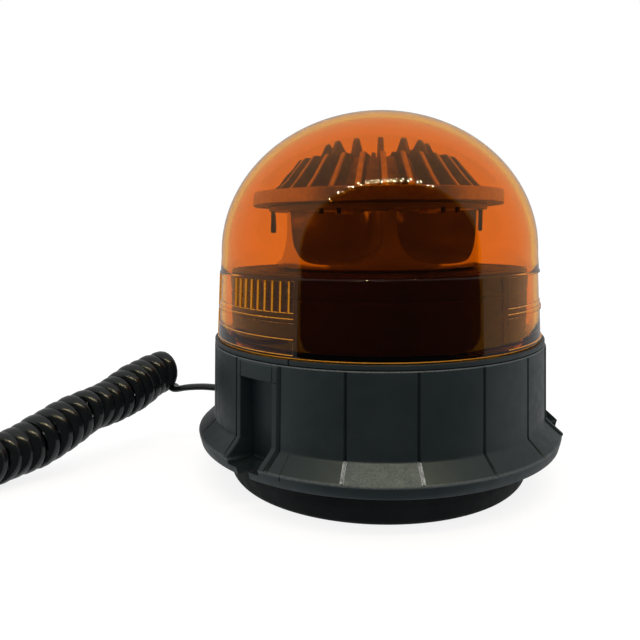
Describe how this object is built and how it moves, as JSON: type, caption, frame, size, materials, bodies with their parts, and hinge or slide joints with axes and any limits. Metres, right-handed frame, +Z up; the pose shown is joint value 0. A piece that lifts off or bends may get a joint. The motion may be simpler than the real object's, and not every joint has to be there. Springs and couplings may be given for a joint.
{
  "type": "led warning beacon",
  "caption": "Amber domed LED warning beacon on a black ribbed base with a rubber-booted ring magnet, bolt pockets, a curly lead and a 12 V socket plug.",
  "frame": {"origin": "centre of the rubber foot on the surface it stands on", "axes": "+Z up along the dome's axis, -Y to the front, +X to the right seen from the front; the lead leaves to the left"},
  "size_m": [0.3346, 0.2145, 0.1457],
  "materials": {
    "base_plastic": "fine spark-grained satin black ABS",
    "drum_plastic": "satin black ABS",
    "rubber": "smooth matt black rubber",
    "ferrite": "ground dark grey ferrite",
    "zinc_steel": "bright zinc plate",
    "amber_lens": "clear polished amber polycarbonate",
    "mirror_plastic": "vacuum metallised mirror",
    "white_board": "white solder mask",
    "cast_alloy": "dark die-cast aluminium, bright fin edges",
    "wire_red": "smooth PVC",
    "green_board": "green solder mask",
    "component": "moulded component case",
    "copper_wire": "enamelled copper",
    "terminal_plastic": "moulded nylon",
    "cord_jacket": "smooth glossy black polyurethane",
    "plug_plastic": "fine grained black ABS",
    "nickel": "bright nickel plate",
    "brass": "turned brass",
    "fuse_glass": "clear glass tube",
    "rocker_plastic": "gloss black",
    "led_package": "yellow phosphor under clear silicone"
  },
  "bodies": {
    "base": {"base_housing": "base_plastic", "inner_drum": "drum_plastic", "rubber_boot": "rubber", "dome_seal": "rubber", "cable_grommet": "rubber", "plug_strain_relief": "rubber", "ring_magnet": "ferrite", "steel_plate": "zinc_steel", "plate_screw_1": "zinc_steel", "plate_screw_2": "zinc_steel", "plate_screw_3": "zinc_steel", "centre_bolt": "zinc_steel", "centre_washer": "zinc_steel", "centre_nut": "zinc_steel", "head_nut": "zinc_steel", "head_stud": "zinc_steel", "drum_screw_1": "zinc_steel", "drum_screw_2": "zinc_steel", "drum_screw_3": "zinc_steel", "board_screw_1": "zinc_steel", "board_screw_2": "zinc_steel", "board_screw_3": "zinc_steel", "reflector": "mirror_plastic", "led_board": "white_board", "heat_sink": "cast_alloy", "led_lead": "wire_red", "driver_board": "green_board", "capacitor_1": "component", "capacitor_2": "component", "driver_chip": "component", "choke": "copper_wire", "terminal_block": "terminal_plastic", "inner_lead": "cord_jacket", "cord_lead": "cord_jacket", "cord_coil": "cord_jacket", "cord_tail": "cord_jacket", "plug_shell_upper": "plug_plastic", "plug_shell_lower": "plug_plastic", "plug_tip_spring": "nickel", "plug_fuse": "fuse_glass", "led_1": "led_package", "led_2": "led_package", "led_3": "led_package", "led_4": "led_package", "led_5": "led_package", "led_6": "led_package"},
    "lock_ring": {"lock_ring": "base_plastic"},
    "dome": {"dome_lens": "amber_lens"},
    "plug_tip": {"plug_tip": "brass"},
    "plug_nose": {"plug_nose_ring": "nickel"},
    "contact_right": {"plug_contact_right": "nickel"},
    "contact_left": {"plug_contact_left": "nickel"},
    "rocker": {"plug_rocker": "rocker_plastic"}
  },
  "joints": [
    {"name": "ring_turn", "type": "hinge", "parent": "base", "child": "lock_ring", "pos_m": [0, 0, 0.054], "axis": [0, 0, 1], "range_deg": [0, 25]},
    {"name": "dome_lift", "type": "slide", "parent": "lock_ring", "child": "dome", "axis": [0, 0, 1], "range_m": [0, 0.095]},
    {"name": "tip_press", "type": "slide", "parent": "base", "child": "plug_tip", "axis": [0, -1, 0], "range_m": [0, 0.0022], "stiffness_N_per_m": 400, "springref_m": -0.002, "deforming": ["plug_tip_spring"]},
    {"name": "nose_off", "type": "slide", "parent": "base", "child": "plug_nose", "axis": [0, 1, 0], "range_m": [0, 0.018]},
    {"name": "contact_right_press", "type": "slide", "parent": "base", "child": "contact_right", "axis": [-1, 0, 0], "range_m": [0, 0.0012], "stiffness_N_per_m": 600, "springref_m": -0.0005},
    {"name": "contact_left_press", "type": "slide", "parent": "base", "child": "contact_left", "axis": [1, 0, 0], "range_m": [0, 0.0012], "stiffness_N_per_m": 600, "springref_m": -0.0005},
    {"name": "rocker_tilt", "type": "hinge", "parent": "base", "child": "rocker", "pos_m": [-0.247, 0.05, 0.0241], "axis": [1, 0, 0], "range_deg": [-6, 6]}
  ]
}
